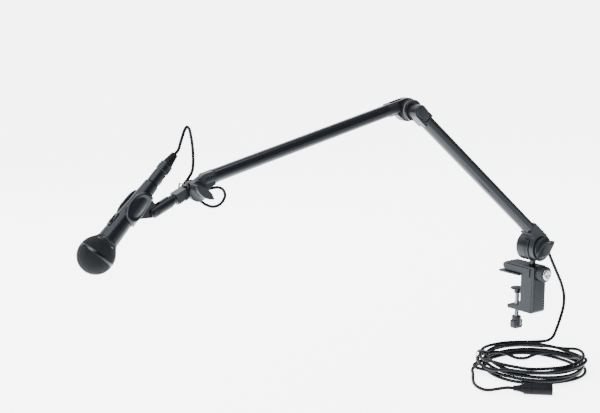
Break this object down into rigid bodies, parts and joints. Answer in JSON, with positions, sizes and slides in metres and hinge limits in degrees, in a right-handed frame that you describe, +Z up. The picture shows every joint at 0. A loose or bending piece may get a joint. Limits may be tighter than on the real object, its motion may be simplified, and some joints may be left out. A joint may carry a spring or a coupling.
{
  "type": "clamp-on boom arm with a clipped vocal microphone",
  "caption": "Jointed two-section desk arm on a table clamp, holding a hand-held vocal microphone in a spring clip, with built-in cable, coil and plug.",
  "frame": {"origin": "on the underside of the clamp's pad, where it rests on the desk top, above the clamp screw's axis", "axes": "+Z up; +Y in over the desk from its edge; the arm reaches out along -X and every arm hinge turns about Y"},
  "size_m": [0.9332, 0.2278, 0.4737],
  "materials": {
    "painted_casting": "satin black powder coat over die-cast metal",
    "black_tube": "semi-gloss black powder coat on drawn aluminium",
    "black_fitting": "satin black coat on cast aluminium",
    "knob_plastic": "moulded black plastic, fine grain",
    "clip_plastic": "moulded black plastic, satin",
    "chrome": "polished",
    "steel": "bright zinc plated",
    "brass": "turned",
    "rubber": "matte",
    "cable_jacket": "satin black jacket",
    "grille_mesh": "black coated woven wire",
    "grille_bright": "dark nickel band",
    "mic_body": "satin black coat",
    "foam": "open-cell foam",
    "board": "circuit board",
    "fibre": "pressed fibre friction washer"
  },
  "bodies": {
    "clamp": {"clamp_frame": "painted_casting", "pad_plate": "knob_plastic", "screw_bush": "brass"},
    "lock_knob": {"lock_knob": "knob_plastic", "lock_screw": "chrome"},
    "pressure_plate": {"pressure_plate": "knob_plastic"},
    "clamp_screw": {"clamp_screw": "steel", "wing_knob": "knob_plastic"},
    "swivel": {"swivel_post": "black_tube", "swivel_hub": "painted_casting", "base_bolt": "steel", "main_cable": "cable_jacket", "cable_coil": "cable_jacket", "coil_tie": "clip_plastic", "plug_lead": "cable_jacket", "end_plug_shell": "mic_body", "end_plug_insert": "clip_plastic", "end_plug_boot": "rubber"},
    "base_knob": {"base_knob": "knob_plastic"},
    "lower_arm": {"base_washer": "fibre", "lower_tube": "black_tube", "lower_base_fitting": "black_fitting", "base_grommet": "rubber", "lower_elbow_fitting": "black_fitting", "elbow_cover": "knob_plastic", "lower_cord": "cable_jacket", "elbow_spacer": "knob_plastic"},
    "upper_arm": {"upper_tube": "black_tube", "upper_elbow_fitting": "black_fitting", "elbow_pivot": "steel", "elbow_washer": "fibre", "upper_head_fitting": "black_fitting", "head_bolt": "steel", "upper_cord": "cable_jacket", "service_loop": "cable_jacket"},
    "head": {"head_block": "black_fitting", "head_stud": "steel", "lock_ring": "clip_plastic", "cable_tie": "clip_plastic", "clip_socket": "clip_plastic", "clip_screw": "steel", "clip_nut": "steel", "mic_lead": "cable_jacket"},
    "head_knob": {"head_knob": "knob_plastic"},
    "clip": {"mic_clip": "clip_plastic", "mic_handle": "mic_body", "switch_plate": "clip_plastic", "grille_front": "grille_mesh", "grille_band": "grille_bright", "grille_back": "grille_mesh", "grille_collar": "chrome", "grille_foam": "foam", "mic_capsule": "brass", "mic_board": "board", "mic_insert": "clip_plastic", "plug_shell": "mic_body", "plug_insert": "clip_plastic", "plug_boot": "rubber"},
    "mic_switch": {"mic_switch": "clip_plastic"},
    "plug_latch": {"plug_latch": "mic_body"}
  },
  "joints": [
    {"name": "lock_turn", "type": "hinge", "parent": "clamp", "child": "lock_knob", "pos_m": [0, -0.0503, 0.008], "axis": [0, -1, 0], "range_deg": [0, 720]},
    {"name": "plate_slide", "type": "slide", "parent": "clamp", "child": "pressure_plate", "axis": [0, 0, 1], "range_m": [-0.0175, 0.0135]},
    {"name": "screw_turn", "type": "hinge", "parent": "pressure_plate", "child": "clamp_screw", "pos_m": [0, 0, -0.0275], "axis": [0, 0, 1], "range_deg": [-5040, 3888]},
    {"name": "swivel_turn", "type": "hinge", "parent": "clamp", "child": "swivel", "pos_m": [0, -0.0327, 0.0195], "axis": [0, 0, 1], "range_deg": [-180, 60], "deforming": ["main_cable"]},
    {"name": "base_knob_turn", "type": "hinge", "parent": "swivel", "child": "base_knob", "pos_m": [0, -0.0526, 0.053], "axis": [0, -1, 0], "range_deg": [0, 540]},
    {"name": "lower_arm_lift", "type": "hinge", "parent": "swivel", "child": "lower_arm", "pos_m": [0, -0.0416, 0.053], "axis": [0, 1, 0], "range_deg": [-30, 85], "deforming": ["main_cable"]},
    {"name": "elbow_bend", "type": "hinge", "parent": "lower_arm", "child": "upper_arm", "pos_m": [-0.28809, -0.0262, 0.3086], "axis": [0, 1, 0], "range_deg": [-70, 70]},
    {"name": "head_tilt", "type": "hinge", "parent": "upper_arm", "child": "head", "pos_m": [-0.6812, -0.0153, 0.22217], "axis": [0, 1, 0], "range_deg": [-75, 40], "deforming": ["service_loop", "mic_lead"]},
    {"name": "head_knob_turn", "type": "hinge", "parent": "upper_arm", "child": "head_knob", "pos_m": [-0.6812, -0.0254, 0.22217], "axis": [0, -1, 0], "range_deg": [0, 540]},
    {"name": "clip_tilt", "type": "hinge", "parent": "head", "child": "clip", "pos_m": [-0.7447, -0.0153, 0.19969], "axis": [0, 1, 0], "range_deg": [-90, 20], "deforming": ["mic_lead"]},
    {"name": "switch_slide", "type": "slide", "parent": "clip", "child": "mic_switch", "axis": [0.7071, 0, 0.7071], "range_m": [0, 0.005]},
    {"name": "latch_press", "type": "slide", "parent": "clip", "child": "plug_latch", "axis": [-0.7071, 0, 0.7071], "range_m": [0, 0.0008], "stiffness_N_per_m": 500, "springref_m": -0.0006}
  ],
  "couplings": [
    {"joint": "screw_turn", "follows": "plate_slide", "rad_per_m": 5026.5}
  ]
}
